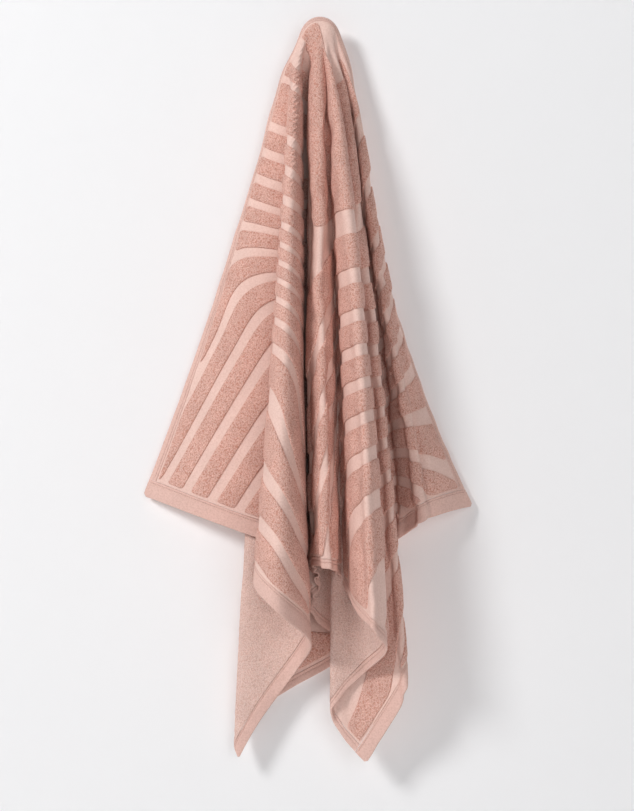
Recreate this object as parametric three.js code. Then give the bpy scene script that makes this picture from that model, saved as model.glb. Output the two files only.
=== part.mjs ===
// A terry bath towel hung by the middle of one long side from a loop sewn behind its edge.
// Millimetres, +Z up. The origin is the inside top of the hanging loop, where it sits on a peg.
// The front of the towel faces -Y and the wall is on the +Y side.
import * as THREE from "three";

// ---- the towel laid flat
const LONG_SIDE = 1422; // from one end hem to the other
const SHORT_SIDE = 762; // from the hung long side to the free one
const END_HEM = 24; // wide woven hem across each end
const SIDE_HEM = 13; // narrow woven border along each long side
const TERRY_THICK = 3.8;
const HEM_THICK = 2.8;
const PEG_SQUEEZE = 0.55; // share of the thickness left where the cloth is pulled over the peg
const SEAM_GAP = 2.4; // between neighbouring pieces of cloth, in the plane of the cloth
const TOP_GAP = 3.4; // the same along the hung side, where the crown presses the cloth closer
const THREAD_WIDE = 1.4;
const THREAD_THICK = 0.6;
const THREAD_LIFT = 0.5; // clear of the hem it is sewn on
const END_STITCH_IN = 20.5; // row of stitches, in from the end of the towel
const SIDE_STITCH_IN = 8.4; // row of stitches, in from a long side

// ---- the crown over the peg
const CROWN_SIDE = 26; // bend of the cloth over the peg, towards either side
const CROWN_FRONT = 11; // and towards the front
const CROWN_TOP = 9; // middle of the cloth above the origin
const CROWN_BACK = -0.5; // how far behind the origin the crown starts
const PLEATS_START = 34; // distance from the hang point where pleats begin
const PLEATS_FULL = 130; // and where they are fully formed

// ---- the hanging loop and the bar tacks that hold its ends
const LOOP_INNER = 10.5; // half the width of the gap inside the loop
const LOOP_THICK = 1.6;
const LOOP_WIDE = 8;
const LOOP_LEG = 26; // straight part below the arch
const LOOP_Y = -3; // middle of the tape, front to back
const TACK_WIDE = 4.4;
const TACK_TALL = 4;
const TACK_UP = 4; // middle of the tack above the end of the loop
const TACK_CLEAR = 4.4; // off the middle of the cloth, which curves away behind the tack

// The pleats. Each line is one place across the fan of cloth: the angle in the flat towel from
// the left half of the hung side, then how far right of the hang point it lies at 100, 550 and
// 990 mm of cloth below that point, then its depth at 550 mm (minus is towards the front).
const PLEATS = [
  { name: "left corner edge", at: 0, x: [-54, -189, -360], y: 24 },
  { name: "left wing", at: 7, x: [-54, -145, -245], y: -1 },
  { name: "left wing inner", at: 14, x: [-46, -86, -130], y: -10 },
  { name: "turn behind first ridge", at: 19.2, x: [-31, -34, -34], y: -18 },
  { name: "turn below first ridge", at: 22, x: [-32, -37, -40], y: -37 },
  { name: "first ridge left side", at: 25.7, x: [-42, -69, -108], y: -67 },
  { name: "first ridge crest", at: 30, x: [-34, -50, -64], y: -121 },
  { name: "first crease", at: 34.9, x: [-24, -26, -6], y: -73 },
  { name: "behind the first crease", at: 38.5, x: [-23, -27, -26], y: -7 },
  { name: "left tip outer fold", at: 47.3, x: [-47, -88, -113], y: -1 },
  { name: "left tip outer fold, wall side", at: 50, x: [-45, -84, -107], y: 20 },
  { name: "left tip panel", at: 53.5, x: [-26, -38, -46], y: 29 },
  { name: "left tip inner fold", at: 57.6, x: [-10, 20, 34], y: 28 },
  { name: "left tip inner fold, front side", at: 60.4, x: [-10, 20, 33], y: 14 },
  { name: "hidden pleat left", at: 64.4, x: [-17, -13, -11], y: 12 },
  { name: "hidden pleat left, front side", at: 67.6, x: [-17, -13, -11], y: 4 },
  { name: "hidden pleat right", at: 71.8, x: [-7, 0, 3], y: -1 },
  { name: "hidden pleat right, front side", at: 75.2, x: [-7, 0, 3], y: -14 },
  { name: "hidden pleat inner", at: 80, x: [-14, -13, -9], y: -25 },
  { name: "middle panel left side", at: 86, x: [-15, -13, -6], y: -49 },
  { name: "middle panel crest", at: 92, x: [-6, -2, 6], y: -90 },
  { name: "middle panel right side", at: 97, x: [4, 13, 24], y: -82 },
  { name: "deep valley, left side", at: 102.5, x: [8, 20, 32], y: -44 },
  { name: "deep valley, right side", at: 106.5, x: [10, 27, 42], y: -42 },
  { name: "second ridge left side", at: 112, x: [12, 38, 52], y: -79 },
  { name: "second ridge crest", at: 116, x: [17, 55, 74], y: -112 },
  { name: "second ridge right side", at: 120, x: [25, 72, 92], y: -82 },
  { name: "reverse of the right tip", at: 124.2, x: [17, 43, 56], y: -26 },
  { name: "right tip inner fold, front side", at: 127.6, x: [10, 18, 18], y: -19 },
  { name: "right tip inner fold", at: 130.4, x: [10, 18, 19], y: -1 },
  { name: "right tip panel", at: 134.2, x: [20, 46, 62], y: 4 },
  { name: "third ridge", at: 139, x: [37, 86, 116], y: -40 },
  { name: "third crease", at: 144, x: [34, 78, 102], y: -4 },
  { name: "hidden pleat outer, front side", at: 148.2, x: [22, 47, 61], y: 10 },
  { name: "hidden pleat outer", at: 151.4, x: [22, 47, 61], y: 22 },
  { name: "behind the third crease", at: 155.8, x: [28, 68, 90], y: 29 },
  { name: "right wing start", at: 161, x: [31, 96, 128], y: 22 },
  { name: "right wing ridge", at: 170, x: [41, 114, 198], y: -25 },
  { name: "right corner edge", at: 180, x: [48, 146, 376], y: 25 },
];
const SECTIONS = [100, 550, 990];
const DEPTH_TOP = 0.36; // share of the depth already there at the first section
const DEPTH_FOOT = 1.28; // and at the last, for what stands forward
const DEPTH_FOOT_BACK = 1.05; // and for what lies back against the wall

const RAYS = 140; // steps across the fan of cloth
const RINGS = [0, 0.02, 0.045, 0.075, 0.11, 0.16, 0.24, 0.36, 0.52, 0.68, 0.84, 1];

const rad = Math.PI / 180;
const smooth = (a, b, v) => {
  const u = Math.min(1, Math.max(0, (v - a) / (b - a)));
  return u * u * (3 - 2 * u);
};

// A value carried smoothly through the pleat places at a given angle.
function along(angle, pick) {
  const n = PLEATS.length;
  let k = 0;
  while (k < n - 2 && PLEATS[k + 1].at <= angle) k++;
  const slope = (i) => {
    const a = PLEATS[Math.max(0, i - 1)];
    const b = PLEATS[Math.min(n - 1, i + 1)];
    return (pick(b) - pick(a)) / (b.at - a.at);
  };
  const p = PLEATS[k];
  const q = PLEATS[k + 1];
  const h = q.at - p.at;
  const u = (angle - p.at) / h;
  const u2 = u * u;
  const u3 = u2 * u;
  return (
    (2 * u3 - 3 * u2 + 1) * pick(p) +
    (u3 - 2 * u2 + u) * h * slope(k) +
    (3 * u2 - 2 * u3) * pick(q) +
    (u3 - u2) * h * slope(k + 1)
  );
}

// The curve through three values placed at the three sections.
function throughSections(v, r) {
  const [a, b, c] = SECTIONS;
  return (
    (v[0] * (r - b) * (r - c)) / ((a - b) * (a - c)) +
    (v[1] * (r - a) * (r - c)) / ((b - a) * (b - c)) +
    (v[2] * (r - a) * (r - b)) / ((c - a) * (c - b))
  );
}

// Where the hung cloth lies, for a place given by distance and angle from the hang point.
function hung(r, angle) {
  const x = throughSections(
    [0, 1, 2].map((i) => along(angle, (p) => p.x[i])),
    r,
  );
  const depth = along(angle, (p) => p.y);
  const foot = depth < 0 ? DEPTH_FOOT : DEPTH_FOOT_BACK;
  const y = throughSections([depth * DEPTH_TOP, depth, depth * foot], r);
  const side = -Math.cos(angle * rad);
  const crown = CROWN_FRONT + (CROWN_SIDE - CROWN_FRONT) * side * side;
  const arc = (crown * Math.PI) / 2;
  const bend = Math.min(r, arc) / crown;
  const reach = crown * Math.sin(bend);
  const front = -Math.sin(angle * rad);
  const w = smooth(PLEATS_START, PLEATS_FULL, r);
  const spread = (along(angle, (p) => p.x[1]) - along(angle, (p) => p.x[0])) / 450;
  const drop = Math.sqrt(Math.max(0.2, 1 - spread * spread));
  const z =
    CROWN_TOP - crown * (1 - Math.cos(bend)) - Math.max(0, r - arc) * drop;
  return new THREE.Vector3(
    (1 - w) * reach * side + w * x,
    (1 - w) * (CROWN_BACK + reach * front) + w * y,
    z,
  );
}

// The same for a place in the flat towel: s along the hung side, t down from it. lift moves the
// point off the middle of the cloth, towards the front face when it is positive.
function onCloth(s, t, lift) {
  const r = Math.hypot(s, t);
  const angle = r < 1e-6 ? 90 : Math.atan2(t, -s) / rad;
  const rr = Math.max(r, 3);
  const a0 = Math.max(0, angle - 0.15);
  const a1 = Math.min(180, angle + 0.15);
  const across = hung(rr, a1).sub(hung(rr, a0));
  const down = hung(rr + 1, angle).sub(hung(rr - 1, angle));
  const front = across.cross(down).normalize().negate();
  return hung(r, angle).addScaledVector(front, lift);
}

// A closed skin over rows of places in the flat towel, each row holding the same number.
function clothSolid(rows, thick, lift = 0) {
  const points = [];
  const index = new Map();
  const at = ([s, t], face) => {
    const key = s.toFixed(3) + " " + t.toFixed(3) + " " + face;
    if (!index.has(key)) {
      const squeeze =
        PEG_SQUEEZE + (1 - PEG_SQUEEZE) * smooth(30, 220, Math.hypot(s, t));
      index.set(key, points.length / 3);
      points.push(...onCloth(s, t, lift + (face * thick * squeeze) / 2).toArray());
    }
    return index.get(key);
  };
  const faces = [];
  const tri = (a, b, c) => {
    if (a !== b && b !== c && c !== a) faces.push(a, c, b);
  };
  const quad = (a, b, c, d) => {
    tri(a, b, c);
    tri(a, c, d);
  };
  const n = rows.length;
  const m = rows[0].length;
  for (let i = 0; i < n - 1; i++)
    for (let j = 0; j < m - 1; j++) {
      const p = rows[i][j];
      const q = rows[i + 1][j];
      const r = rows[i + 1][j + 1];
      const o = rows[i][j + 1];
      quad(at(p, 1), at(o, 1), at(r, 1), at(q, 1));
      quad(at(p, -1), at(q, -1), at(r, -1), at(o, -1));
    }
  const wall = (p, q) => {
    if (at(p, 1) !== at(q, 1)) quad(at(p, 1), at(q, 1), at(q, -1), at(p, -1));
  };
  for (let j = 0; j < m - 1; j++) {
    wall(rows[0][j + 1], rows[0][j]);
    wall(rows[n - 1][j], rows[n - 1][j + 1]);
  }
  for (let i = 0; i < n - 1; i++) {
    wall(rows[i][0], rows[i + 1][0]);
    wall(rows[i + 1][m - 1], rows[i][m - 1]);
  }
  const made = new THREE.BufferGeometry();
  made.setAttribute("position", new THREE.Float32BufferAttribute(points, 3));
  made.setIndex(faces);
  made.computeVertexNormals();
  return made;
}

const HALF = LONG_SIDE / 2;
const HEM_IN = HALF - END_HEM; // where the terry ends, along the hung side
const SIDE_IN = SHORT_SIDE - SIDE_HEM;

// The rays that every piece of cloth is divided along: even steps, and each corner met exactly.
const RAY_ANGLES = (() => {
  const first = Math.atan2(SIDE_HEM, HEM_IN);
  const wanted = [
    first,
    1.4 * rad,
    1.75 * rad,
    2.15 * rad,
    2.6 * rad,
    3.2 * rad,
    Math.atan2(SIDE_IN, HEM_IN),
    Math.atan2(SHORT_SIDE, HALF),
    Math.atan2(SHORT_SIDE, HEM_IN + SEAM_GAP),
    Math.atan2(SHORT_SIDE, HEM_IN),
    Math.atan2(SHORT_SIDE, HEM_IN - SEAM_GAP),
  ];
  const fixed = [...wanted, ...wanted.map((a) => Math.PI - a)];
  const even = [];
  for (let k = 1; k < RAYS; k++) even.push(first + ((Math.PI - 2 * first) * k) / RAYS);
  const spare = even.filter((a) => fixed.every((f) => Math.abs(f - a) > 0.3 * rad));
  return [...fixed, ...spare].sort((a, b) => a - b);
})();

const place = (r, a) => [-r * Math.cos(a), r * Math.sin(a)];

// How far along a ray the edge of a rectangle is: half wide each way, tall down.
const edgeAt = (a, half, tall) =>
  Math.min(half / Math.max(1e-9, Math.abs(Math.cos(a))), tall / Math.sin(a));

function terryCloth() {
  const rows = RINGS.map(() => []);
  const last = RAY_ANGLES.length - 1;
  RAY_ANGLES.forEach((a, k) => {
    const outer = edgeAt(a, HEM_IN, SIDE_IN);
    const inner = k === 0 || k === last ? outer : SIDE_HEM / Math.sin(a);
    RINGS.forEach((u, i) => rows[i].push(place(inner + (outer - inner) * u, a)));
  });
  return clothSolid(rows, TERRY_THICK);
}

// The end hem takes in both corners of its end.
function endHem(side) {
  const inner = HEM_IN + SEAM_GAP;
  const stop = Math.atan2(SHORT_SIDE, inner) + 1e-9;
  const fan = [0, 0.5 * rad, ...RAY_ANGLES.filter((a) => a <= stop)];
  const rows = [
    fan.map((a) => place(Math.min(inner / Math.cos(a), SHORT_SIDE / Math.sin(a)), a)),
    fan.map((a) => place(Math.min(HALF / Math.cos(a), SHORT_SIDE / Math.sin(a)), a)),
  ];
  const turned = rows.map((row) => row.map(([s, t]) => [-s, t]).reverse());
  return clothSolid(side < 0 ? rows : turned, HEM_THICK);
}

function endStitching(side) {
  const stop = Math.atan2(SHORT_SIDE - 6, HALF);
  const fan = [0.5 * rad, ...RAY_ANGLES.filter((a) => a < stop)];
  const rows = [-0.5, 0.5].map((k) => {
    const s = HALF - END_STITCH_IN + k * THREAD_WIDE;
    return fan.map((a) => [-s, s * Math.tan(a)]);
  });
  const lift = HEM_THICK / 2 + THREAD_LIFT + THREAD_THICK / 2;
  const turned = rows.map((row) => row.map(([s, t]) => [-s, t]).reverse());
  return clothSolid(side < 0 ? rows : turned, THREAD_THICK, lift);
}

// Places along the hung side: where the rays meet the inner edge of its hem.
const hungSidePlaces = (reach) =>
  RAY_ANGLES.map((a) => -SIDE_HEM / Math.tan(a)).map((s) =>
    Math.max(-reach, Math.min(reach, s)),
  );

function topSideHem() {
  const places = hungSidePlaces(HEM_IN);
  const rows = [0, SIDE_HEM - TOP_GAP].map((t) => places.map((s) => [s, t]));
  return clothSolid(rows, HEM_THICK);
}

function topStitching() {
  const places = hungSidePlaces(HEM_IN - 4);
  const rows = [-0.5, 0.5].map((k) =>
    places.map((s) => [s, SIDE_STITCH_IN + k * THREAD_WIDE]),
  );
  return clothSolid(rows, THREAD_THICK, HEM_THICK / 2 + THREAD_LIFT + THREAD_THICK / 2);
}

// A strip beside the free long side, between two distances from the hung one.
function freeSideStrip(near, far, reach) {
  const start = Math.atan2(far, reach);
  const fan = RAY_ANGLES.filter((a) => a > start - 1e-9 && a < Math.PI - start + 1e-9);
  return [near, far].map((t) => fan.map((a) => place(t / Math.sin(a), a)));
}

const bottomSideHem = () =>
  clothSolid(freeSideStrip(SIDE_IN + SEAM_GAP, SHORT_SIDE, HEM_IN - SEAM_GAP), HEM_THICK);

function bottomStitching() {
  const t = SHORT_SIDE - SIDE_STITCH_IN;
  const rows = freeSideStrip(t - THREAD_WIDE / 2, t + THREAD_WIDE / 2, HEM_IN - 6);
  return clothSolid(rows, THREAD_THICK, HEM_THICK / 2 + THREAD_LIFT + THREAD_THICK / 2);
}

// The loop is a tape bent into an arch; its gap runs front to back, for the peg.
function hangingLoop() {
  const outer = LOOP_INNER + LOOP_THICK;
  const shape = new THREE.Shape();
  shape.moveTo(-outer, -LOOP_INNER - LOOP_LEG);
  shape.lineTo(-LOOP_INNER, -LOOP_INNER - LOOP_LEG);
  shape.lineTo(-LOOP_INNER, -LOOP_INNER);
  shape.absarc(0, -LOOP_INNER, LOOP_INNER, Math.PI, 0, true);
  shape.lineTo(LOOP_INNER, -LOOP_INNER - LOOP_LEG);
  shape.lineTo(outer, -LOOP_INNER - LOOP_LEG);
  shape.lineTo(outer, -LOOP_INNER);
  shape.absarc(0, -LOOP_INNER, outer, 0, Math.PI, false);
  shape.closePath();
  const made = new THREE.ExtrudeGeometry(shape, {
    depth: LOOP_WIDE,
    bevelEnabled: false,
    curveSegments: 10,
  });
  made.rotateX(Math.PI / 2);
  made.translate(0, LOOP_Y + LOOP_WIDE / 2, 0);
  return made;
}

// How far forward the cloth of the crown is, behind it, at a given width and height.
function crownFront(x, z) {
  let best = null;
  for (let t = 20; t < 70; t += 0.5)
    for (let s = -50; s <= 50; s += 0.5) {
      const p = onCloth(s, t, 0);
      const miss = Math.hypot(p.x - x, p.z - z);
      if (!best || miss < best.miss) best = { miss, y: p.y };
    }
  return best.y;
}

// A short dense bar of thread that holds an end of the loop to the cloth in front of it.
function loopTack(side) {
  const x = side * (LOOP_INNER + LOOP_THICK / 2);
  const z = -LOOP_INNER - LOOP_LEG + TACK_UP;
  const back = LOOP_Y - LOOP_WIDE / 2 - 0.3;
  const behind = [-0.5, 0, 0.5].map((k) => crownFront(x + k * TACK_WIDE, z));
  const front = Math.max(...behind) + TACK_CLEAR;
  const made = new THREE.BoxGeometry(TACK_WIDE, back - front, TACK_TALL);
  made.translate(x, (back + front) / 2, z);
  return made;
}

const terry = new THREE.MeshStandardMaterial({ color: "#cf9f93", roughness: 0.96, metalness: 0 });
const woven = new THREE.MeshStandardMaterial({ color: "#dbb6ab", roughness: 0.88, metalness: 0 });
const thread = new THREE.MeshStandardMaterial({ color: "#c3948a", roughness: 0.8, metalness: 0 });
const tape = new THREE.MeshStandardMaterial({ color: "#d8b2a7", roughness: 0.85, metalness: 0 });

const towel = new THREE.Group();
towel.name = "bath_towel";
function add(name, geometry, material) {
  const mesh = new THREE.Mesh(geometry, material);
  mesh.name = name;
  towel.add(mesh);
}

add("terry_cloth", terryCloth(), terry);
add("left_end_hem", endHem(-1), woven);
add("right_end_hem", endHem(1), woven);
add("top_side_hem", topSideHem(), woven);
add("bottom_side_hem", bottomSideHem(), woven);
add("left_end_stitching", endStitching(-1), thread);
add("right_end_stitching", endStitching(1), thread);
add("top_side_stitching", topStitching(), thread);
add("bottom_side_stitching", bottomStitching(), thread);
add("hanging_loop", hangingLoop(), tape);
add("left_loop_tack", loopTack(-1), thread);
add("right_loop_tack", loopTack(1), thread);

export default towel;
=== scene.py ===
"""A terry bath towel with raised wavy bands, hung by the middle of one long side."""

import math

import bmesh
import bpy
import numpy as np
from mathutils import Matrix, Vector


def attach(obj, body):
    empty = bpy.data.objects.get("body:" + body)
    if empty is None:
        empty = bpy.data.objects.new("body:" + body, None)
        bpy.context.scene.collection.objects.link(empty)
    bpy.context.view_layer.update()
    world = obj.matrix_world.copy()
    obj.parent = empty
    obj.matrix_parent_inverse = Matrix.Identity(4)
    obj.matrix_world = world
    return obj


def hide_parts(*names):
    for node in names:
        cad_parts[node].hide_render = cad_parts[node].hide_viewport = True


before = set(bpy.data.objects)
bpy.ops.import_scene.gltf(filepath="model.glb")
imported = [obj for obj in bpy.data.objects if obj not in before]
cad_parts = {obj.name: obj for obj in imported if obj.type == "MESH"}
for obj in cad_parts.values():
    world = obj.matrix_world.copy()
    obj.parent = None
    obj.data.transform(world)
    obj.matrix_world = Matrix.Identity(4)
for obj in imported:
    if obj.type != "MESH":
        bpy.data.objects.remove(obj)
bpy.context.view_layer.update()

MM = 0.001

# ---- the towel laid flat, in millimetres: s runs along the hung side from its middle, t runs
# down from it
LONG_SIDE = 1422.0
SHORT_SIDE = 762.0
END_HEM = 24.0
SIDE_HEM = 13.0
SEAM = 0.4  # between the terry and a hem
HALF = LONG_SIDE / 2
HEM_IN = HALF - END_HEM
SIDE_IN = SHORT_SIDE - SIDE_HEM

GROUND_FRONT = 1.1  # woven ground, in front of the middle of the cloth
PILE_TALL = 2.3  # cut of the raised bands above the ground
PILE_ROUND = 1.0  # how far a band's edge leans in
REVERSE = 2.0  # loops of the reverse, behind the middle
HEM_HALF = 1.55  # half the thickness of a folded hem
CLOTH_STEP = 4.3  # size of a cell of the front face

# ---- the raised bands
BAND_REPEAT = 43.0  # from one band to the next, where the bands run straight
BAND_SHARE = 0.65  # share of the repeat that is raised
BAND_CLEAR = 3.6  # woven ground left between a band and a hem
PILE_UNEVEN = 0.22  # how far the tops of the loops differ, either way
PILE_SHARP = 50.0  # in degrees: a sharper edge is drawn as one

# ---- the drape
CROWN_SIDE = 26.0  # bend of the cloth over the peg, towards either side
CROWN_FRONT = 11.0  # and towards the front
CROWN_TOP = 9.0
CROWN_BACK = -0.5
PLEATS_START = 20.0
PLEATS_FULL = 100.0
SECTIONS = (100.0, 550.0, 990.0)
DEPTH_TOP = 0.36
DEPTH_FOOT = 1.28
DEPTH_FOOT_BACK = 1.05
WALL_Y = 36.0

# Each line is one place across the fan of cloth: the angle in the flat towel from the left half
# of the hung side, how far right of the hang point it lies at each section, and its depth.
PLEATS = np.array([
    (0, -54, -189, -360, 24),
    (7, -54, -145, -245, -1),
    (14, -46, -86, -130, -10),
    (19.2, -37, -34, -34, -18),
    (22, -39, -38, -40, -37),
    (25.7, -42, -69, -108, -67),
    (30, -34, -50, -64, -121),
    (34.9, -24, -26, -6, -73),
    (38.5, -23, -27, -26, -7),
    (47.3, -47, -88, -113, -1),
    (50, -45, -84, -107, 20),
    (53.5, -26, -38, -46, 29),
    (57.6, -10, 20, 34, 28),
    (60.4, -10, 20, 33, 14),
    (64.4, -17, -13, -11, 12),
    (67.6, -17, -13, -11, 4),
    (71.8, -7, 0, 3, -1),
    (75.2, -7, 0, 3, -14),
    (80, -14, -13, -9, -25),
    (86, -15, -13, -6, -49),
    (92, -6, -2, 6, -90),
    (97, 4, 13, 24, -82),
    (102.5, 8, 20, 32, -28),
    (106.5, 10, 27, 42, -26),
    (112, 12, 38, 52, -79),
    (116, 17, 55, 74, -112),
    (120, 25, 72, 92, -82),
    (124.2, 17, 43, 56, -26),
    (127.6, 10, 18, 18, -26),
    (130.4, 10, 19, 28, -16),
    (134.2, 20, 50, 76, -20),
    (139, 37, 86, 121, -40),
    (144, 34, 78, 102, -4),
    (148.2, 22, 47, 61, 10),
    (151.4, 22, 47, 61, 22),
    (155.8, 28, 68, 90, 29),
    (161, 31, 96, 128, 22),
    (170, 41, 114, 198, -25),
    (180, 48, 146, 376, 25),
], float)

# ---- the fall of the cloth
SIM_STEP = 11.0
SIM_FRAMES = 14
HELD_RADIUS = 28.0  # cloth this near the peg doesn't move
HOLD_FADES_BY = 120.0
HOLD = 0.3  # how strongly the rest is drawn back to its laid place, from 0 to 1
HOLD_NEAR_PEG = 0.05  # added near the peg
HOLD_AT_CORNERS = 0.35  # added towards the free corners
CORNERS_FROM, CORNERS_TO = 750.0, 1000.0
CROWN_RADIUS = 150.0  # cloth this near the peg isn't tested against itself
WALL_SKIN = 0.002  # in metres, as Blender's cloth settings are
CLOTH_SKIN = 0.003
LAYERS_APART = 0.0046


def smooth(start, end, value):
    u = np.clip((value - start) / (end - start), 0, 1)
    return u * u * (3 - 2 * u)


# ======== the shape the folds are laid in, before the cloth falls ========


def along_pleats(angle):
    """The pleat values at each angle, carried smoothly from one pleat to the next."""
    at, values = PLEATS[:, 0], PLEATS[:, 1:]
    slope = np.gradient(values, axis=0)
    slope[1:-1] = (values[2:] - values[:-2]) / (at[2:] - at[:-2])[:, None]
    slope[0] = (values[1] - values[0]) / (at[1] - at[0])
    slope[-1] = (values[-1] - values[-2]) / (at[-1] - at[-2])
    k = np.clip(np.searchsorted(at, angle, side="right") - 1, 0, len(at) - 2)
    step = (at[k + 1] - at[k])[:, None]
    u = (angle - at[k])[:, None] / step
    return (
        (2 * u**3 - 3 * u**2 + 1) * values[k]
        + (u**3 - 2 * u**2 + u) * step * slope[k]
        + (3 * u**2 - 2 * u**3) * values[k + 1]
        + (u**3 - u**2) * step * slope[k + 1]
    )


def through_sections(values, r):
    a, b, c = SECTIONS
    return (
        values[0] * (r - b) * (r - c) / ((a - b) * (a - c))
        + values[1] * (r - a) * (r - c) / ((b - a) * (b - c))
        + values[2] * (r - a) * (r - b) / ((c - a) * (c - b))
    )


def laid_in_folds(s, t):
    """Where each place of the flat towel is laid, in millimetres."""
    r = np.hypot(s, t)
    angle = np.where(r < 1e-6, 90, np.degrees(np.arctan2(t, -s)))
    pleat = along_pleats(angle)
    depth = pleat[:, 3]
    foot = np.where(depth < 0, DEPTH_FOOT, DEPTH_FOOT_BACK)
    x = through_sections((pleat[:, 0], pleat[:, 1], pleat[:, 2]), r)
    y = through_sections((depth * DEPTH_TOP, depth, depth * foot), r)
    turned = np.radians(angle)
    crown = CROWN_FRONT + (CROWN_SIDE - CROWN_FRONT) * np.cos(turned) ** 2
    crown_arc = crown * math.pi / 2
    bend = np.minimum(r, crown_arc) / crown
    reach = crown * np.sin(bend)
    share = smooth(PLEATS_START, PLEATS_FULL, r)
    spread = (pleat[:, 1] - pleat[:, 0]) / (SECTIONS[1] - SECTIONS[0])
    drop = np.sqrt(np.maximum(0.2, 1 - spread**2))
    z = CROWN_TOP - crown * (1 - np.cos(bend)) - np.maximum(0, r - crown_arc) * drop
    x = (1 - share) * reach * -np.cos(turned) + share * x
    y = (1 - share) * (CROWN_BACK - reach * np.sin(turned)) + share * y
    return np.stack([x, y, z], 1)


def fall(s, t):
    """Lets the laid cloth fall as real cloth, held round the peg and in front of a wall."""
    rows, columns = s.shape
    laid = laid_in_folds(s.ravel(), t.ravel()) * MM
    number = np.arange(rows * columns).reshape(rows, columns)
    faces = np.stack(
        [number[:-1, :-1], number[:-1, 1:], number[1:, 1:], number[1:, :-1]], -1
    ).reshape(-1, 4)
    mesh = bpy.data.meshes.new("falling cloth")
    mesh.from_pydata(laid.tolist(), [], faces.tolist())
    cloth = bpy.data.objects.new("falling cloth", mesh)
    bpy.context.scene.collection.objects.link(cloth)
    cloth.shape_key_add(name="laid")
    unstretched = cloth.shape_key_add(name="flat")
    flat = np.stack([s.ravel(), 0 * s.ravel(), -t.ravel()], 1) * MM
    unstretched.data.foreach_set("co", flat.ravel())
    unstretched.value = 0

    r = np.hypot(s, t).ravel()
    held = cloth.vertex_groups.new(name="held")
    weight = (
        HOLD
        + HOLD_NEAR_PEG * (1 - smooth(HELD_RADIUS, HOLD_FADES_BY, r))
        + HOLD_AT_CORNERS * smooth(CORNERS_FROM, CORNERS_TO, r)
    )
    weight[r < HELD_RADIUS] = 1.0
    for i, w in enumerate(weight):
        held.add([i], float(w), "REPLACE")
    crown = cloth.vertex_groups.new(name="crown")
    crown.add(np.nonzero(r < CROWN_RADIUS)[0].tolist(), 1.0, "REPLACE")

    modifier = cloth.modifiers.new("cloth", "CLOTH")
    thread = modifier.settings
    thread.quality = 8
    thread.mass = 0.01
    thread.air_damping = 5
    thread.tension_stiffness = thread.compression_stiffness = thread.shear_stiffness = 40
    thread.bending_stiffness = 40
    thread.tension_damping = thread.compression_damping = thread.shear_damping = 10
    thread.bending_damping = 1
    thread.rest_shape_key = unstretched
    thread.vertex_group_mass = "held"
    thread.pin_stiffness = 20
    touch = modifier.collision_settings
    touch.use_collision = True
    touch.distance_min = CLOTH_SKIN
    touch.collision_quality = 3
    touch.use_self_collision = True
    touch.self_distance_min = LAYERS_APART
    touch.self_friction = 5
    touch.vertex_group_self_collisions = "crown"
    modifier.point_cache.frame_start = 1
    modifier.point_cache.frame_end = SIM_FRAMES

    wall_mesh = bpy.data.meshes.new("wall to fall against")
    shape = bmesh.new()
    bmesh.ops.create_grid(
        shape,
        x_segments=1,
        y_segments=1,
        size=2,
        matrix=Matrix.Translation((0, WALL_Y * MM, -0.5)) @ Matrix.Rotation(math.pi / 2, 4, "X"),
    )
    shape.to_mesh(wall_mesh)
    shape.free()
    wall = bpy.data.objects.new("wall to fall against", wall_mesh)
    bpy.context.scene.collection.objects.link(wall)
    wall.modifiers.new("touched", "COLLISION")
    wall.collision.thickness_outer = WALL_SKIN

    for step in range(1, SIM_FRAMES + 1):
        bpy.context.scene.frame_set(step)
    fallen = cloth.evaluated_get(bpy.context.evaluated_depsgraph_get()).data
    places = np.empty(len(fallen.vertices) * 3, np.float32)
    fallen.vertices.foreach_get("co", places)
    bpy.context.scene.frame_set(1)
    for spent in (cloth, wall):
        spent_mesh = spent.data
        bpy.data.objects.remove(spent)
        bpy.data.meshes.remove(spent_mesh)
    return places.reshape(-1, 3).astype(float) / MM


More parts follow.
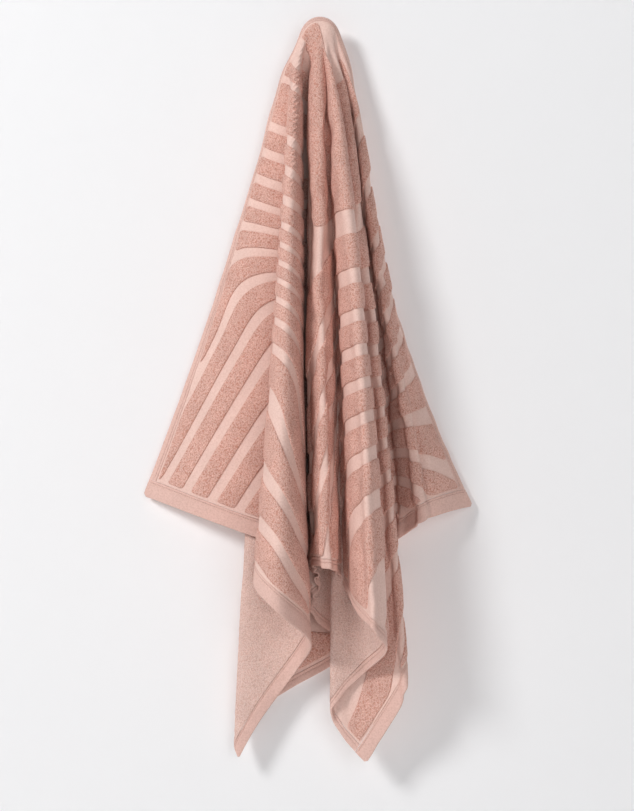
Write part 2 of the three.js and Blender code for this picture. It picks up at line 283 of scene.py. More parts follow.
class HungCloth:
    """The fallen cloth as one smooth surface over the flat towel."""

    def __init__(self):
        self.shape = (round(LONG_SIDE / SIM_STEP), round(SHORT_SIDE / SIM_STEP))
        s, t = np.meshgrid(
            np.linspace(-HALF, HALF, self.shape[0] + 1),
            np.linspace(0, SHORT_SIDE, self.shape[1] + 1),
            indexing="ij",
        )
        grid = fall(s, t).reshape(*s.shape, 3)
        grid = np.concatenate([2 * grid[:1] - grid[1:2], grid, 2 * grid[-1:] - grid[-2:-1]])
        first, last = 2 * grid[:, :1] - grid[:, 1:2], 2 * grid[:, -1:] - grid[:, -2:-1]
        self.grid = np.concatenate([first, grid, last], 1)

    def at(self, s, t):
        """The middle of the cloth and the direction of its front face, at flat places."""
        knots, slopes = [], []
        for value, start, size, count in (
            (s, -HALF, LONG_SIDE, self.shape[0]),
            (t, 0, SHORT_SIDE, self.shape[1]),
        ):
            u = (np.asarray(value, float) - start) / size * count
            k = np.clip(np.floor(u), 0, count - 1).astype(int)
            f = u - k
            knots.append(
                (
                    k,
                    np.stack([(1 - f) ** 3, 3 * f**3 - 6 * f**2 + 4,
                              -3 * f**3 + 3 * f**2 + 3 * f + 1, f**3]) / 6,
                )
            )
            slopes.append(
                np.stack([-((1 - f) ** 2), 3 * f**2 - 4 * f, -3 * f**2 + 2 * f + 1, f**2]) / 2
            )
        (i, a), (j, b) = knots
        place = along_s = along_t = 0
        for m in range(4):
            for n in range(4):
                knot = self.grid[i + m, j + n]
                place = place + (a[m] * b[n])[:, None] * knot
                along_s = along_s + (slopes[0][m] * b[n])[:, None] * knot
                along_t = along_t + (a[m] * slopes[1][n])[:, None] * knot
        front = np.cross(along_t, along_s)
        front /= np.maximum(1e-9, np.linalg.norm(front, axis=1))[:, None]
        return place, front

    def lay(self, s, t, lift):
        """Places lifted off the middle of the cloth, towards the front when lift is positive."""
        place, front = self.at(s, t)
        pulled = 0.55 + 0.45 * smooth(30, 220, np.hypot(s, t))
        return place + front * (np.asarray(lift) * pulled)[:, None]


# ======== the raised bands ========


def band_height(s, t):
    """A wavy field that rises by one from each raised band to the next, like wood grain."""
    r = np.hypot(s, t)
    calm = smooth(40, 260, -s) * (1 - smooth(110, 380, t))
    shoulder = smooth(50, 150, -s) * (1 - smooth(110, 330, t))
    wing = smooth(250, 470, -s) * (1 - smooth(150, 430, t))
    arches = 0.28 * r + 0.45 * np.hypot(s, 60)
    waves = (
        52 * np.sin((s * 0.8 + t * 1.5) / 200 + 2.0)
        + 36 * np.sin((s * 1.25 - t * 0.9) / 150 + 3.4)
    )
    rise = arches + waves * (1 - 0.85 * calm)
    rise += (250 - 1.15 * (s + 330) - rise) * shoulder
    rise += (250 + 0.98 * t - 0.25 * (s + 330) - rise) * wing
    return rise / BAND_REPEAT


def in_band(s, t):
    """Millimetres inside a raised band, or minus the millimetres outside it."""
    height = band_height(s, t)
    band = (BAND_SHARE / 2 - np.abs(height - np.round(height))) * BAND_REPEAT
    edge = np.minimum(HEM_IN - np.abs(s), np.minimum(t - SIDE_HEM, SIDE_IN - t)) - BAND_CLEAR
    blend = np.clip(0.5 + (band - edge) / 12, 0, 1)
    return band * (1 - blend) + edge * blend - 3 * blend * (1 - blend)


def band_slope(s, t):
    """The direction in the flat towel that leads further into a band."""
    d = 0.25
    slope = np.stack(
        [in_band(s + d, t) - in_band(s - d, t), in_band(s, t + d) - in_band(s, t - d)], 1
    )
    return slope / np.maximum(1e-9, np.linalg.norm(slope, axis=1))[:, None]


# ======== mesh helpers ========

PARTS = {}


def add_piece(name, places, faces, flat, materials, kinds=None, sharp=None):
    """A piece of the towel from places in millimetres, with its flat place as its UV map."""
    mesh = bpy.data.meshes.new(name)
    mesh.from_pydata((np.asarray(places) * MM).tolist(), [], faces)
    for material in materials:
        mesh.materials.append(material)
    if kinds is not None:
        mesh.polygons.foreach_set("material_index", kinds)
    mesh.polygons.foreach_set("use_smooth", np.ones(len(mesh.polygons), bool))
    if flat is not None:
        corner = np.empty(len(mesh.loops), np.int32)
        mesh.loops.foreach_get("vertex_index", corner)
        uv = mesh.uv_layers.new(name="flat towel")
        uv.uv.foreach_set("vector", (np.asarray(flat)[corner] * MM).ravel().astype(np.float32))
    if sharp:
        mesh.set_sharp_from_angle(angle=math.radians(sharp))
    mesh.validate()
    return finish_piece(name, mesh)


def finish_piece(name, mesh):
    piece = bpy.data.objects.new(name + "_finished", mesh)
    bpy.context.scene.collection.objects.link(piece)
    PARTS[name] = piece
    return piece


# ======== terry cloth ========


def terry_cloth(cloth, materials):
    """Woven ground with raised bands cut crisply along their edges, and a reverse of loops."""
    across = 2 * round((HEM_IN - SEAM) / CLOTH_STEP)
    down = 2 * round((SIDE_IN - SIDE_HEM) / CLOTH_STEP / 2)
    even_s, even_t = np.meshgrid(
        np.linspace(-HEM_IN + SEAM, HEM_IN - SEAM, across + 1),
        np.linspace(SIDE_HEM + SEAM, SIDE_IN - SEAM, down + 1),
        indexing="ij",
    )
    number = np.arange(even_s.size).reshape(even_s.shape)
    s, t = even_s.ravel().copy(), even_t.ravel().copy()
    inside = in_band(s, t)

    # the nearest places move onto the edges of the bands
    nearest = np.full(s.size, 1e9)
    moved = np.stack([s, t], 1)
    flat = moved.copy()
    for p, q in (
        (number[:-1, :], number[1:, :]),
        (number[:, :-1], number[:, 1:]),
        (number[:-1, :-1], number[1:, 1:]),
    ):
        p, q = p.ravel(), q.ravel()
        crossed = inside[p] * inside[q] < 0
        p, q = p[crossed], q[crossed]
        share = inside[p] / (inside[p] - inside[q])
        for start, end, part in ((p, q, share), (q, p, 1 - share)):
            near = part <= 0.5
            a, b, part = start[near], end[near], part[near]
            length = part * np.hypot(*(flat[b] - flat[a]).T)
            order = np.argsort(-length)
            a, b, part, length = a[order], b[order], part[order], length[order]
            closer = length < nearest[a]
            a, b, part, length = a[closer], b[closer], part[closer], length[closer]
            nearest[a] = length
            moved[a] = flat[a] + (flat[b] - flat[a]) * part[:, None]
    on_edge = nearest < 1e9
    inside[on_edge] = 0
    s, t = moved.T

    a, b = number[:-1, :-1].ravel(), number[1:, :-1].ravel()
    c, d = number[1:, 1:].ravel(), number[:-1, 1:].ravel()
    triangles = np.concatenate([np.stack([a, c, b], 1), np.stack([a, d, c], 1)])
    corners = inside[triangles]
    middle = in_band(s[triangles].mean(1), t[triangles].mean(1))
    raised = np.where((corners == 0).all(1), middle > 0, corners.max(1) > 0)

    # the walls between raised and low cloth
    def edges(some):
        pairs = np.concatenate([some[:, [0, 1]], some[:, [1, 2]], some[:, [2, 0]]])
        return pairs, pairs[:, 0] * s.size + pairs[:, 1]

    high_edges, _ = edges(triangles[raised])
    _, low_keys = edges(triangles[~raised])
    is_wall = np.isin(high_edges[:, 1] * s.size + high_edges[:, 0], low_keys)
    walls = high_edges[is_wall]

    grain = np.random.default_rng(7)
    lean = band_slope(s, t)
    deep = np.clip(in_band(s, t), 0, 9) / 9
    tall = PILE_TALL * (0.84 + 0.16 * deep) + grain.uniform(
        -PILE_UNEVEN, PILE_UNEVEN, s.size
    )
    step_in = np.where(on_edge, PILE_ROUND, 0)
    top_s, top_t = s + lean[:, 0] * step_in, t + lean[:, 1] * step_in
    mid_s, mid_t = s + lean[:, 0] * 0.2, t + lean[:, 1] * 0.2
    size = s.size
    layers = [
        cloth.lay(s, t, np.full(size, GROUND_FRONT)),
        cloth.lay(mid_s, mid_t, GROUND_FRONT + tall * 0.68),
        cloth.lay(top_s, top_t, GROUND_FRONT + tall),
        cloth.lay(even_s.ravel(), even_t.ravel(), np.full(size, -REVERSE)),
    ]
    flats = [
        np.stack([s, t], 1),
        np.stack([mid_s, mid_t], 1),
        np.stack([top_s, top_t], 1),
        np.stack([even_s.ravel(), even_t.ravel()], 1),
    ]
    low, mid, high, back = 0, size, 2 * size, 3 * size
    p, q = walls[:, 0], walls[:, 1]
    wall_faces = np.concatenate([
        np.stack([q + high, p + high, p + mid, q + mid], 1),
        np.stack([q + mid, p + mid, p + low, q + low], 1),
    ])
    coarse = number[::2, ::2] + back
    back_faces = np.stack(
        [coarse[:-1, :-1], coarse[1:, :-1], coarse[1:, 1:], coarse[:-1, 1:]], -1
    ).reshape(-1, 4)

    # the rim, which the hems cover
    rim = []
    for line in (number[:, 0], number[-1, :], number[::-1, -1], number[0, ::-1]):
        for start, half, end in zip(line[:-2:2], line[1:-1:2], line[2::2]):
            rim += [
                (start, half, start + back),
                (half, end + back, start + back),
                (half, end, end + back),
            ]
    faces = (
        triangles[~raised].tolist()
        + (triangles[raised] + high).tolist()
        + wall_faces.tolist()
        + back_faces.tolist()
        + rim
    )
    kinds = np.concatenate([
        np.zeros((~raised).sum()),
        np.ones(raised.sum() + len(wall_faces)),
        np.full(len(back_faces), 2),
        np.zeros(len(rim)),
    ]).astype(np.int32)

    places, flat = np.concatenate(layers), np.concatenate(flats)
    used = np.zeros(len(places), bool)
    for face_group in (triangles[~raised], triangles[raised] + high, wall_faces, back_faces):
        used[face_group.ravel()] = True
    used[np.array(rim).ravel()] = True
    renumber = np.cumsum(used) - 1
    faces = [renumber[list(face)].tolist() for face in faces]
    return add_piece(
        "terry_cloth", places[used], faces, flat[used], materials, kinds, sharp=PILE_SHARP
    )


# ======== hems ========


def hem_profile(wide, stitch_in):
    """The closed outline of a folded hem: distance in from its fold, and height."""
    front = [
        (0.0, 0.0),
        (0.25, 0.55),
        (0.9, 0.9),
        (2.2, 1.0),
        (stitch_in * 0.33, 1.03),
        (stitch_in * 0.66, 1.03),
        (stitch_in - 1.6, 0.98),
        (stitch_in - 0.7, 0.74),
        (stitch_in, 0.6),
        (stitch_in + 0.7, 0.74),
        (stitch_in + 1.5, 0.92),
        (wide - 0.8, 0.9),
        (wide - 0.15, 0.6),
    ]
    return np.array(front + [(w, -h) for w, h in front[:0:-1]])


def folded_hem(cloth, name, flat_place, length, wide, stitch_in, material):
    """A hem as one closed body. flat_place turns (along, in from the fold) into (s, t)."""
    profile = hem_profile(wide, stitch_in)
    stations = np.linspace(0, length, round(length / 4.5) + 1)
    count = len(profile)
    along = np.repeat(stations, count)
    inward = np.tile(profile[:, 0], len(stations))
    height = np.tile(profile[:, 1], len(stations)) * HEM_HALF
    # a sewn hem is drawn in a little between its stitches
    pucker = 0.13 * np.sin(along / 2.1 + 1.7 * np.sin(along / 31)) * (inward > 2)
    s, t = flat_place(along, inward)
    places = cloth.lay(s, t, height + pucker)
    ring = np.arange(len(stations) * count).reshape(len(stations), count)
    after = np.roll(ring, -1, axis=1)
    sides = np.stack([ring[:-1], ring[1:], after[1:], after[:-1]], -1).reshape(-1, 4)
    caps = []
    for row in (ring[0], ring[-1][::-1]):
        for k in range((count - 1) // 2):
            low, high = row[k], row[k + 1]
            far_low, far_high = row[-k] if k else row[0], row[-(k + 1)]
            face = [low, high, far_high] if k == 0 else [low, high, far_high, far_low]
            caps.append([int(v) for v in face])
    flat = np.stack([s, t], 1)
    return add_piece(name, places, sides.tolist() + caps, flat, [material], sharp=60)


def corner_cut(along, length, radius=4.0):
    """How far a rounded corner pulls the fold in, near either end of a hem."""
    near = np.minimum(along, length - along)
    u = np.clip(1 - near / radius, 0, 1)
    return radius * (1 - np.sqrt(1 - u * u * 0.98))


def left_end_place(along, inward):
    cut = corner_cut(along, SHORT_SIDE)
    return -HALF + cut + inward * (END_HEM - cut) / END_HEM, along


def right_end_place(along, inward):
    s, t = left_end_place(SHORT_SIDE - along, inward)
    return -s, t


def top_side_place(along, inward):
    return HEM_IN - SEAM - along, inward


def bottom_side_place(along, inward):
    return -HEM_IN + SEAM + along, SHORT_SIDE - inward


# ======== stitches ========


STITCH_PITCH = 3.5
STITCH_LONG = 2.9
STITCH_WIDE = 0.75
STITCH_THICK = 0.6
STITCH_ARCH = 0.22  # how far the middle of a stitch stands above its ends


def unit_stitch():
    """One stitch: a short bar of thread with rounded ends, one long, one wide, one high."""
    shape = bmesh.new()
    bmesh.ops.create_uvsphere(shape, u_segments=6, v_segments=5, radius=0.5)
    bmesh.ops.rotate(
        shape, verts=shape.verts, cent=(0, 0, 0), matrix=Matrix.Rotation(math.pi / 2, 3, "Y")
    )
    places = np.array([v.co[:] for v in shape.verts])
    faces = [[v.index for v in f.verts] for f in shape.faces]
    shape.free()
    places[:, 0] = np.sign(places[:, 0]) * np.abs(places[:, 0] * 2) ** 0.6 / 2
    return places, faces


def stitching(cloth, name, flat_place, length, stitch_in, margin, material):
    """A row of lock stitches along a hem, on the front and on the reverse."""
    count = int((length - 2 * margin) / STITCH_PITCH)
    start = np.linspace(margin, length - margin - STITCH_PITCH, count)
    unit, unit_faces = unit_stitch()
    grain = np.random.default_rng(11)
    places, faces, flats = [], [], []
    for face in (1, -1):
        shift = 0 if face > 0 else STITCH_PITCH / 2
        slant = grain.uniform(-0.08, 0.08, count)
        along = (start + shift)[:, None] + (unit[:, 0] + 0.5) * STITCH_LONG
        inward = (
            stitch_in + unit[:, 1] * STITCH_WIDE + slant[:, None] * unit[:, 0] * STITCH_LONG
        )
        arch = STITCH_ARCH * (1 - (2 * unit[:, 0]) ** 2)
        lift = face * (0.62 * HEM_HALF + 0.1 + arch + unit[:, 2] * face * STITCH_THICK)
        s, t = flat_place(along.ravel(), inward.ravel())
        base = sum(len(p) for p in places)
        places.append(cloth.lay(s, t, np.tile(lift, count)))
        flats.append(np.stack([s, t], 1))
        for k in range(count):
            first = base + k * len(unit)
            faces += [[first + v for v in f] for f in unit_faces]
    piece = add_piece(name, np.concatenate(places), faces, np.concatenate(flats), [material])
    outward(piece)
    return piece


def outward(piece):
    """Turns every face of a piece outwards."""
    shape = bmesh.new()
    shape.from_mesh(piece.data)
    bmesh.ops.recalc_face_normals(shape, faces=shape.faces)
    shape.to_mesh(piece.data)
    shape.free()


# ======== the hanging loop and its tacks ========

LOOP_INNER = 10.5
LOOP_THICK = 1.6
LOOP_WIDE = 8.0
LOOP_LEG = 26.0
LOOP_Y = -3.0
TACK_UP = 4.0  # from the end of a leg
LEG_STEPS = 9
TACK_RADIUS = 1.75
TACK_RIDGE = 0.2  # how far a turn of thread stands out
TACK_END = 0.8


def hanging_loop(material):
    """A woven tape bent into an arch, with a thin rolled selvedge along both edges."""
    shape = bmesh.new()
    middle = LOOP_INNER + LOOP_THICK / 2
    outline = [
        (-0.36, -0.5), (0.36, -0.5), (0.5, -0.46), (0.5, -0.34), (0.3, -0.26), (0.3, 0.26),
        (0.5, 0.34), (0.5, 0.46), (0.36, 0.5), (-0.36, 0.5), (-0.5, 0.46), (-0.5, 0.34),
        (-0.3, 0.26), (-0.3, -0.26), (-0.5, -0.34), (-0.5, -0.46),
    ]
    ring = [
        shape.verts.new((middle + across * LOOP_THICK, LOOP_Y + along * LOOP_WIDE, -LOOP_INNER))
        for across, along in outline
    ]
    face = shape.faces.new(ring)
    made = bmesh.ops.spin(
        shape,
        geom=[face],
        cent=(0, 0, -LOOP_INNER),
        axis=(0, -1, 0),
        angle=math.pi,
        steps=28,
        use_duplicate=False,
    )
    ends = [face] + [f for f in made["geom_last"] if isinstance(f, bmesh.types.BMFace)]
    for end in ends:
        for _ in range(LEG_STEPS):
            grown = bmesh.ops.extrude_face_region(shape, geom=[end])
            end_verts = [v for v in grown["geom"] if isinstance(v, bmesh.types.BMVert)]
            new_end = [f for f in grown["geom"] if isinstance(f, bmesh.types.BMFace)][0]
            bmesh.ops.delete(shape, geom=[end], context="FACES_ONLY")
            bmesh.ops.translate(shape, verts=end_verts, vec=(0, 0, -LOOP_LEG / LEG_STEPS))
            end = new_end
    bmesh.ops.recalc_face_normals(shape, faces=shape.faces)
    bmesh.ops.scale(shape, verts=shape.verts, vec=(MM, MM, MM))
    mesh = bpy.data.meshes.new("hanging_loop")
    shape.to_mesh(mesh)
    shape.free()
    mesh.materials.append(material)
    mesh.polygons.foreach_set("use_smooth", np.ones(len(mesh.polygons), bool))
    mesh.set_sharp_from_angle(angle=math.radians(50))
    return finish_piece("hanging_loop", mesh)


def cloth_behind(cloth, x, z):
    """How far back the crown's reverse reaches, in front of a place on the loop."""
    s, t = np.meshgrid(np.arange(-50, 50.5, 0.5), np.arange(20, 70.5, 0.5))
    places = cloth.lay(s.ravel(), t.ravel(), np.full(s.size, -REVERSE))
    miss = np.hypot(places[:, 0] - x, places[:, 2] - z)
    return places[np.argmin(miss), 1]


def loop_tack(cloth, name, side, material):
    """Thread wound tightly between the cloth and an end of the loop."""
    x = side * (LOOP_INNER + LOOP_THICK / 2)
    z = -LOOP_INNER - LOOP_LEG + TACK_UP
    back = LOOP_Y - LOOP_WIDE / 2 + 0.1
    front = cloth_behind(cloth, x, z) - 0.3
    turns = max(4, round((back - front) / 0.7))
    shape = bmesh.new()
    bmesh.ops.create_circle(shape, cap_ends=True, segments=18, radius=TACK_END)
    end = shape.faces[:][0]
    step = (back - front) / (turns * 4)
    for k in range(turns * 4):
        grown = bmesh.ops.extrude_face_region(shape, geom=[end])
        verts = [v for v in grown["geom"] if isinstance(v, bmesh.types.BMVert)]
        new_end = [f for f in grown["geom"] if isinstance(f, bmesh.types.BMFace)][0]
        if k:
            bmesh.ops.delete(shape, geom=[end], context="FACES_ONLY")
        bmesh.ops.translate(shape, verts=verts, vec=(0, 0, step))
        wanted = TACK_RADIUS + TACK_RIDGE * math.cos(math.pi * (k + 1) / 2)
        if k == turns * 4 - 1:
            wanted = TACK_END
        now = max(math.hypot(v.co.x, v.co.y) for v in verts)
        grow = wanted / now
        bmesh.ops.scale(shape, verts=verts, vec=(grow, grow, 1))
        end = new_end
    bmesh.ops.recalc_face_normals(shape, faces=shape.faces)
    turn = Matrix.Rotation(-math.pi / 2, 4, "X")
    place = Matrix.Scale(MM, 4) @ Matrix.Translation((x, front, z)) @ turn
    bmesh.ops.transform(shape, matrix=place, verts=shape.verts)
    mesh = bpy.data.meshes.new(name)
    shape.to_mesh(mesh)
    shape.free()
    mesh.materials.append(material)
    mesh.polygons.foreach_set("use_smooth", np.ones(len(mesh.polygons), bool))
    return finish_piece(name, mesh)


# ======== materials ========


def linear(colour):
    """An sRGB hex colour as linear RGBA."""
    parts = [int(colour[i : i + 2], 16) / 255 for i in (1, 3, 5)]
    return [c / 12.92 if c <= 0.04045 else ((c + 0.055) / 1.055) ** 2.4 for c in parts] + [1]


def new_material(name):
    material = bpy.data.materials.new(name)
    material.use_nodes = True
    tree = material.node_tree
    tree.nodes.clear()
    return material, tree


def add_node(tree, kind, settings=None, **inputs):
    """A node with its settings. An input given as a socket is linked, and else it is a value."""
    node = tree.nodes.new(kind)
    for key, value in (settings or {}).items():
        setattr(node, key, value)
    for key, value in inputs.items():
        socket = node.inputs[int(key[1:]) if key[1:].isdigit() else key.replace("_", " ")]
        if isinstance(value, bpy.types.NodeSocket):
            tree.links.new(value, socket)
        else:
            socket.default_value = value
    return node


def colour_ramp(tree, value, stops):
    ramp = add_node(tree, "ShaderNodeValToRGB", Fac=value)
    points = ramp.color_ramp.elements
    for k, (at, colour) in enumerate(stops):
        point = points[k] if k < 2 else points.new(at)
        point.position = at
        point.color = linear(colour)
    return ramp.outputs["Color"]


def cotton_terry(name, light, shaded_gap, loop_mm):
    """Looped cotton pile: soft curls with a painted highlight on their tips and painted shade in
    the gaps between them, over a bump for their relief.
    """
    material, tree = new_material(name)
    place = add_node(tree, "ShaderNodeTexCoord").outputs["Object"]
    wander = add_node(
        tree, "ShaderNodeTexNoise", Vector=place, Scale=1 / (loop_mm * 1.4 * MM), Detail=1.0
    )
    bent = add_node(
        tree,
        "ShaderNodeVectorMath",
        {"operation": "MULTIPLY_ADD"},
        _0=wander.outputs["Color"],
        _1=(loop_mm * 0.9 * MM,) * 3,
        _2=place,
    )
    loops = add_node(
        tree,
        "ShaderNodeTexVoronoi",
        {"feature": "SMOOTH_F1"},
        Vector=bent.outputs["Vector"],
        Scale=1 / (loop_mm * MM),
        Smoothness=0.35,
    )
    fibres = add_node(
        tree, "ShaderNodeTexNoise", Vector=place, Scale=1 / (0.9 * MM), Detail=3.0
    )
    patches = add_node(
        tree, "ShaderNodeTexNoise", Vector=place, Scale=1 / (38 * MM), Detail=2.0
    )
    # painted highlight on the middle of each loop and painted shade in the gaps between loops,
    # from the distance to the loop's middle
    curl_light_and_shade = colour_ramp(
        tree, loops.outputs["Distance"], [(0.22, light), (0.78, shaded_gap)]
    )
    worn = add_node(
        tree,
        "ShaderNodeMapRange",
        Value=patches.outputs["Fac"],
        From_Min=0.3,
        From_Max=0.7,
        To_Min=0.93,
        To_Max=1.05,
    )
    fluff = add_node(
        tree,
        "ShaderNodeMapRange",
        Value=fibres.outputs["Fac"],
        From_Min=0.3,
        From_Max=0.7,
        To_Min=0.86,
        To_Max=1.1,
    )
    shade = add_node(
        tree,
        "ShaderNodeMath",
        {"operation": "MULTIPLY"},
        _0=worn.outputs["Result"],
        _1=fluff.outputs["Result"],
    )
    colour = add_node(
        tree,
        "ShaderNodeVectorMath",
        {"operation": "SCALE"},
        _0=curl_light_and_shade,
        Scale=shade.outputs["Value"],
    )
    rise = add_node(
        tree,
        "ShaderNodeMath",
        {"operation": "MULTIPLY_ADD"},
        _0=loops.outputs["Distance"],
        _1=-1.0,
        _2=fibres.outputs["Fac"],
    )
    bump = add_node(
        tree, "ShaderNodeBump", Strength=1.0, Distance=1.3 * MM, Height=rise.outputs["Value"]
    )
    surface = add_node(
        tree,
        "ShaderNodeBsdfPrincipled",
        Base_Color=colour.outputs["Vector"],
        Roughness=0.96,
        IOR=1.5,
        Normal=bump.outputs["Normal"],
        Specular_IOR_Level=0.2,
        Sheen_Weight=0.1,
        Sheen_Roughness=0.6,
        Sheen_Tint=linear("#f3d9cf"),
    )
    add_node(tree, "ShaderNodeOutputMaterial", Surface=surface.outputs["BSDF"])
    return material


def woven_cotton(name, light, dark, thread_mm, slant, strength=0.35):
    """Plain or twill woven cotton: fine even threads, a little sheen, soft light patches."""
    material, tree = new_material(name)
    flat = add_node(tree, "ShaderNodeUVMap", {"uv_map": "flat towel"}).outputs["UV"]
    turned = add_node(
        tree, "ShaderNodeMapping", Vector=flat, Rotation=(0, 0, math.radians(slant))
    )
    split = add_node(tree, "ShaderNodeSeparateXYZ", Vector=turned.outputs["Vector"])
    waves = []
    for axis, shift in (("X", 0), ("Y", 0.5)):
        phase = add_node(
            tree,
            "ShaderNodeMath",
            {"operation": "MULTIPLY"},
            _0=split.outputs[axis],
            _1=2 * math.pi / (thread_mm * MM),
        )
        wave = add_node(
            tree, "ShaderNodeMath", {"operation": "SINE"}, _0=phase.outputs["Value"]
        )
        waves.append(wave.outputs["Value"])
    weave = add_node(
        tree, "ShaderNodeMath", {"operation": "MULTIPLY"}, _0=waves[0], _1=waves[1]
    )
    place = add_node(tree, "ShaderNodeTexCoord").outputs["Object"]
    slub = add_node(tree, "ShaderNodeTexNoise", Vector=place, Scale=1 / (2.2 * MM), Detail=3.0)
    soft = add_node(tree, "ShaderNodeTexNoise", Vector=place, Scale=1 / (45 * MM), Detail=2.0)
    mixed = add_node(
        tree,
        "ShaderNodeMath",
        {"operation": "MULTIPLY_ADD"},
        _0=weave.outputs["Value"],
        _1=0.12,
        _2=slub.outputs["Fac"],
    )
    tone = colour_ramp(tree, mixed.outputs["Value"], [(0.28, dark), (0.62, light)])
    patch = add_node(
        tree,
        "ShaderNodeMapRange",
        Value=soft.outputs["Fac"],
        From_Min=0.3,
        From_Max=0.7,
        To_Min=0.96,
        To_Max=1.03,
    )
    colour = add_node(
        tree,
        "ShaderNodeVectorMath",
        {"operation": "SCALE"},
        _0=tone,
        Scale=patch.outputs["Result"],
    )
    bump = add_node(
        tree,
        "ShaderNodeBump",
        Strength=strength,
        Distance=0.3 * MM,
        Height=mixed.outputs["Value"],
    )
    surface = add_node(
        tree,
        "ShaderNodeBsdfPrincipled",
        Base_Color=colour.outputs["Vector"],
        Roughness=0.88,
        IOR=1.5,
        Normal=bump.outputs["Normal"],
        Specular_IOR_Level=0.25,
        Sheen_Weight=0.1,
        Sheen_Roughness=0.5,
        Sheen_Tint=linear("#f6e2da"),
    )
    add_node(tree, "ShaderNodeOutputMaterial", Surface=surface.outputs["BSDF"])
    return material


def twisted_thread(name, light, dark):
    """Spun polyester sewing thread: a tight slanting twist with a soft shine."""
    material, tree = new_material(name)
    place = add_node(tree, "ShaderNodeTexCoord").outputs["Object"]
    twist = add_node(
        tree,
        "ShaderNodeTexWave",
        {"wave_type": "BANDS", "bands_direction": "DIAGONAL"},
        Vector=place,
        Scale=1 / (2.6 * MM),
        Distortion=1.5,
    )
    tone = colour_ramp(tree, twist.outputs["Fac"], [(0.1, dark), (0.75, light)])
    bump = add_node(
        tree, "ShaderNodeBump", Strength=0.4, Distance=0.1 * MM, Height=twist.outputs["Fac"]
    )
    surface = add_node(
        tree,
        "ShaderNodeBsdfPrincipled",
        Base_Color=tone,
        Roughness=0.6,
        IOR=1.5,
        Normal=bump.outputs["Normal"],
    )
    add_node(tree, "ShaderNodeOutputMaterial", Surface=surface.outputs["BSDF"])
    return material


def herringbone_tape(name, light, dark):
    """Woven cotton tape: slanting ribs that turn back on themselves down the middle."""
    material, tree = new_material(name)
    place = add_node(tree, "ShaderNodeTexCoord").outputs["Object"]
    split = add_node(tree, "ShaderNodeSeparateXYZ", Vector=place)
    from_middle = add_node(
        tree, "ShaderNodeMath", {"operation": "ADD"}, _0=split.outputs["Y"], _1=-LOOP_Y * MM
    )
    folded = add_node(
        tree, "ShaderNodeMath", {"operation": "ABSOLUTE"}, _0=from_middle.outputs["Value"]
    )
    slanted = add_node(
        tree,
        "ShaderNodeMath",
        {"operation": "ADD"},
        _0=folded.outputs["Value"],
        _1=split.outputs["Z"],
    )
    phase = add_node(
        tree,
        "ShaderNodeMath",
        {"operation": "MULTIPLY"},
        _0=slanted.outputs["Value"],
        _1=2 * math.pi / (1.1 * MM),
    )
    rib = add_node(tree, "ShaderNodeMath", {"operation": "SINE"}, _0=phase.outputs["Value"])
    level = add_node(
        tree,
        "ShaderNodeMapRange",
        Value=rib.outputs["Value"],
        From_Min=-1.0,
        From_Max=1.0,
    )
    tone = colour_ramp(tree, level.outputs["Result"], [(0.1, dark), (0.7, light)])
    bump = add_node(
        tree, "ShaderNodeBump", Strength=0.5, Distance=0.2 * MM, Height=level.outputs["Result"]
    )
    surface = add_node(
        tree,
        "ShaderNodeBsdfPrincipled",
        Base_Color=tone,
        Roughness=0.85,
        IOR=1.5,
        Normal=bump.outputs["Normal"],
        Sheen_Weight=0.2,
    )
    add_node(tree, "ShaderNodeOutputMaterial", Surface=surface.outputs["BSDF"])
    return material


# ======== the towel ========

# the second colour of each terry is painted shade for the gaps between its loops
pile = cotton_terry("raised cotton terry", "#f9cfc2", "#d69886", 1.8)
reverse = cotton_terry("reverse cotton terry", "#fcdcd2", "#e6bcae", 1.8)
ground = woven_cotton("flat woven cotton", "#eccbc0", "#dfbaad", 1.3, 45)
hem = woven_cotton("folded cotton hem", "#e4bfb4", "#d4ac9f", 1.2, 0)
thread = twisted_thread("polyester sewing thread", "#d6ada1", "#ac8175")
tape = herringbone_tape("cotton loop tape", "#e0bdb2", "#bd968a")

cloth = HungCloth()
terry = terry_cloth(cloth, [ground, pile, reverse])
END_STITCH_IN = 20.5
SIDE_STITCH_IN = 8.4
SIDE_LENGTH = 2 * (HEM_IN - SEAM)
hems = {
    "left_end": (left_end_place, SHORT_SIDE, END_HEM, END_STITCH_IN),
    "right_end": (right_end_place, SHORT_SIDE, END_HEM, END_STITCH_IN),
    "top_side": (top_side_place, SIDE_LENGTH, SIDE_HEM, SIDE_STITCH_IN),
    "bottom_side": (bottom_side_place, SIDE_LENGTH, SIDE_HEM, SIDE_STITCH_IN),
}
for name, (flat_place, length, wide, stitch_in) in hems.items():
    folded_hem(cloth, name + "_hem", flat_place, length, wide, stitch_in, hem)
    stitching(cloth, name + "_stitching", flat_place, length, stitch_in, 5.0, thread)
hanging_loop(tape)
loop_tack(cloth, "left_loop_tack", -1, thread)
loop_tack(cloth, "right_loop_tack", 1, thread)

for name, piece in PARTS.items():
    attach(piece, "root")
    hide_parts(name)

# ======== the room ========


def plain_material(name, colour, one_sided=False):
    """Matt paint. A one-sided wall is clear from behind, and lets a light behind it through."""
    material, tree = new_material(name)
    paint = add_node(
        tree, "ShaderNodeBsdfPrincipled", Base_Color=linear(colour), Roughness=0.9
    ).outputs["BSDF"]
    if one_sided:
        clear = add_node(tree, "ShaderNodeBsdfTransparent").outputs["BSDF"]
        behind = add_node(tree, "ShaderNodeNewGeometry").outputs["Backfacing"]
        to_light = add_node(tree, "ShaderNodeLightPath").outputs["Is Shadow Ray"]
        either = add_node(
            tree, "ShaderNodeMath", {"operation": "MAXIMUM"}, _0=behind, _1=to_light
        ).outputs["Value"]
        paint = add_node(
            tree, "ShaderNodeMixShader", _0=either, _1=paint, _2=clear
        ).outputs["Shader"]
    add_node(tree, "ShaderNodeOutputMaterial", Surface=paint)
    return material


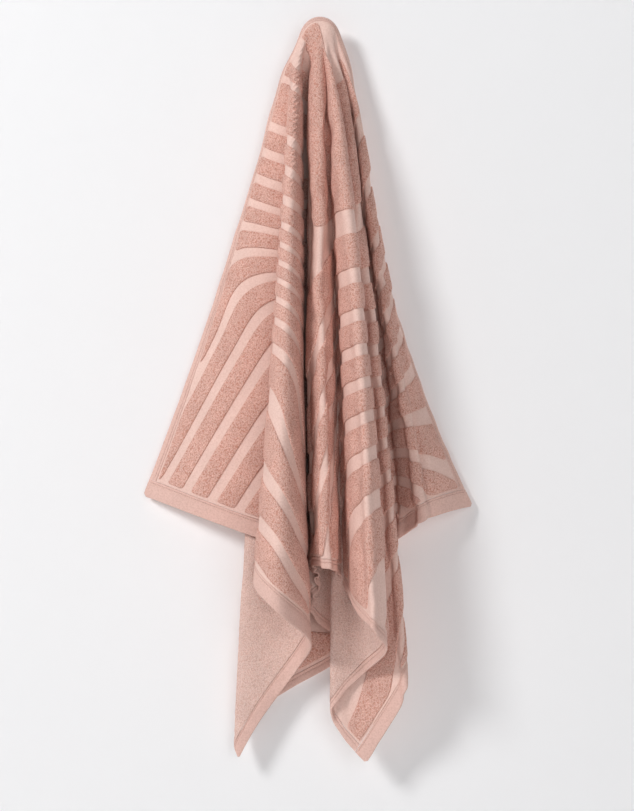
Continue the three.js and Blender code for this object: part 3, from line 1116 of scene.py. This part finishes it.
def stage_plane(name, size, centre, tilt, material):
    shape = bmesh.new()
    place = Matrix.Translation(centre) @ Matrix.Rotation(tilt, 4, "X")
    bmesh.ops.create_grid(shape, x_segments=1, y_segments=1, size=size / 2, matrix=place)
    mesh = bpy.data.meshes.new(name)
    shape.to_mesh(mesh)
    shape.free()
    mesh.materials.append(material)
    plane = bpy.data.objects.new(name, mesh)
    bpy.context.scene.collection.objects.link(plane)


FLOOR_Z = -1.45
ROOM = 9.0  # side of the wall and of the floor, in metres
stage_plane("wall", ROOM, (0, WALL_Y * MM, FLOOR_Z + ROOM / 2), math.pi / 2,
            plain_material("matt wall paint", "#f4f4f5", one_sided=True))
stage_plane("floor", ROOM, (0, WALL_Y * MM - ROOM / 2, FLOOR_Z), 0,
            plain_material("pale floor", "#d8d7d6"))


def soft_light(name, place, aim, size, watts, colour="#ffffff"):
    light = bpy.data.lights.new(name, "AREA")
    light.shape = "DISK"
    light.size = size
    light.energy = watts
    light.color = linear(colour)[:3]
    lamp = bpy.data.objects.new(name, light)
    lamp.location = place
    lamp.rotation_euler = (Vector(aim) - Vector(place)).to_track_quat("-Z", "Y").to_euler()
    bpy.context.scene.collection.objects.link(lamp)


LIT_PLACE = (0, 0, -0.5)
soft_light("key light", (-2.9, -3.1, 1.75), LIT_PLACE, 1.2, 128)
soft_light("fill light", (1.1, -4.6, 0.1), LIT_PLACE, 3.0, 56)
soft_light("light behind the wall", (1.2, 3.4, 0.8), LIT_PLACE, 2.0, 85)

world = bpy.data.worlds.new("studio")
world.use_nodes = True
world.node_tree.nodes["Background"].inputs["Color"].default_value = linear("#fafbff")
world.node_tree.nodes["Background"].inputs["Strength"].default_value = 0.2
bpy.context.scene.world = world
bpy.context.scene.view_settings.view_transform = "Standard"

CAMERA_AWAY = 2.7
VIEW_TALL = 1.139  # height of the view at the wall
camera = bpy.data.objects.new("camera", bpy.data.cameras.new("camera"))
camera.data.lens = camera.data.sensor_width * CAMERA_AWAY / VIEW_TALL
camera.location = (-0.004, WALL_Y * MM - CAMERA_AWAY, -0.53)
camera.rotation_euler = (math.pi / 2, 0, 0)
bpy.context.scene.collection.objects.link(camera)
bpy.context.scene.camera = camera
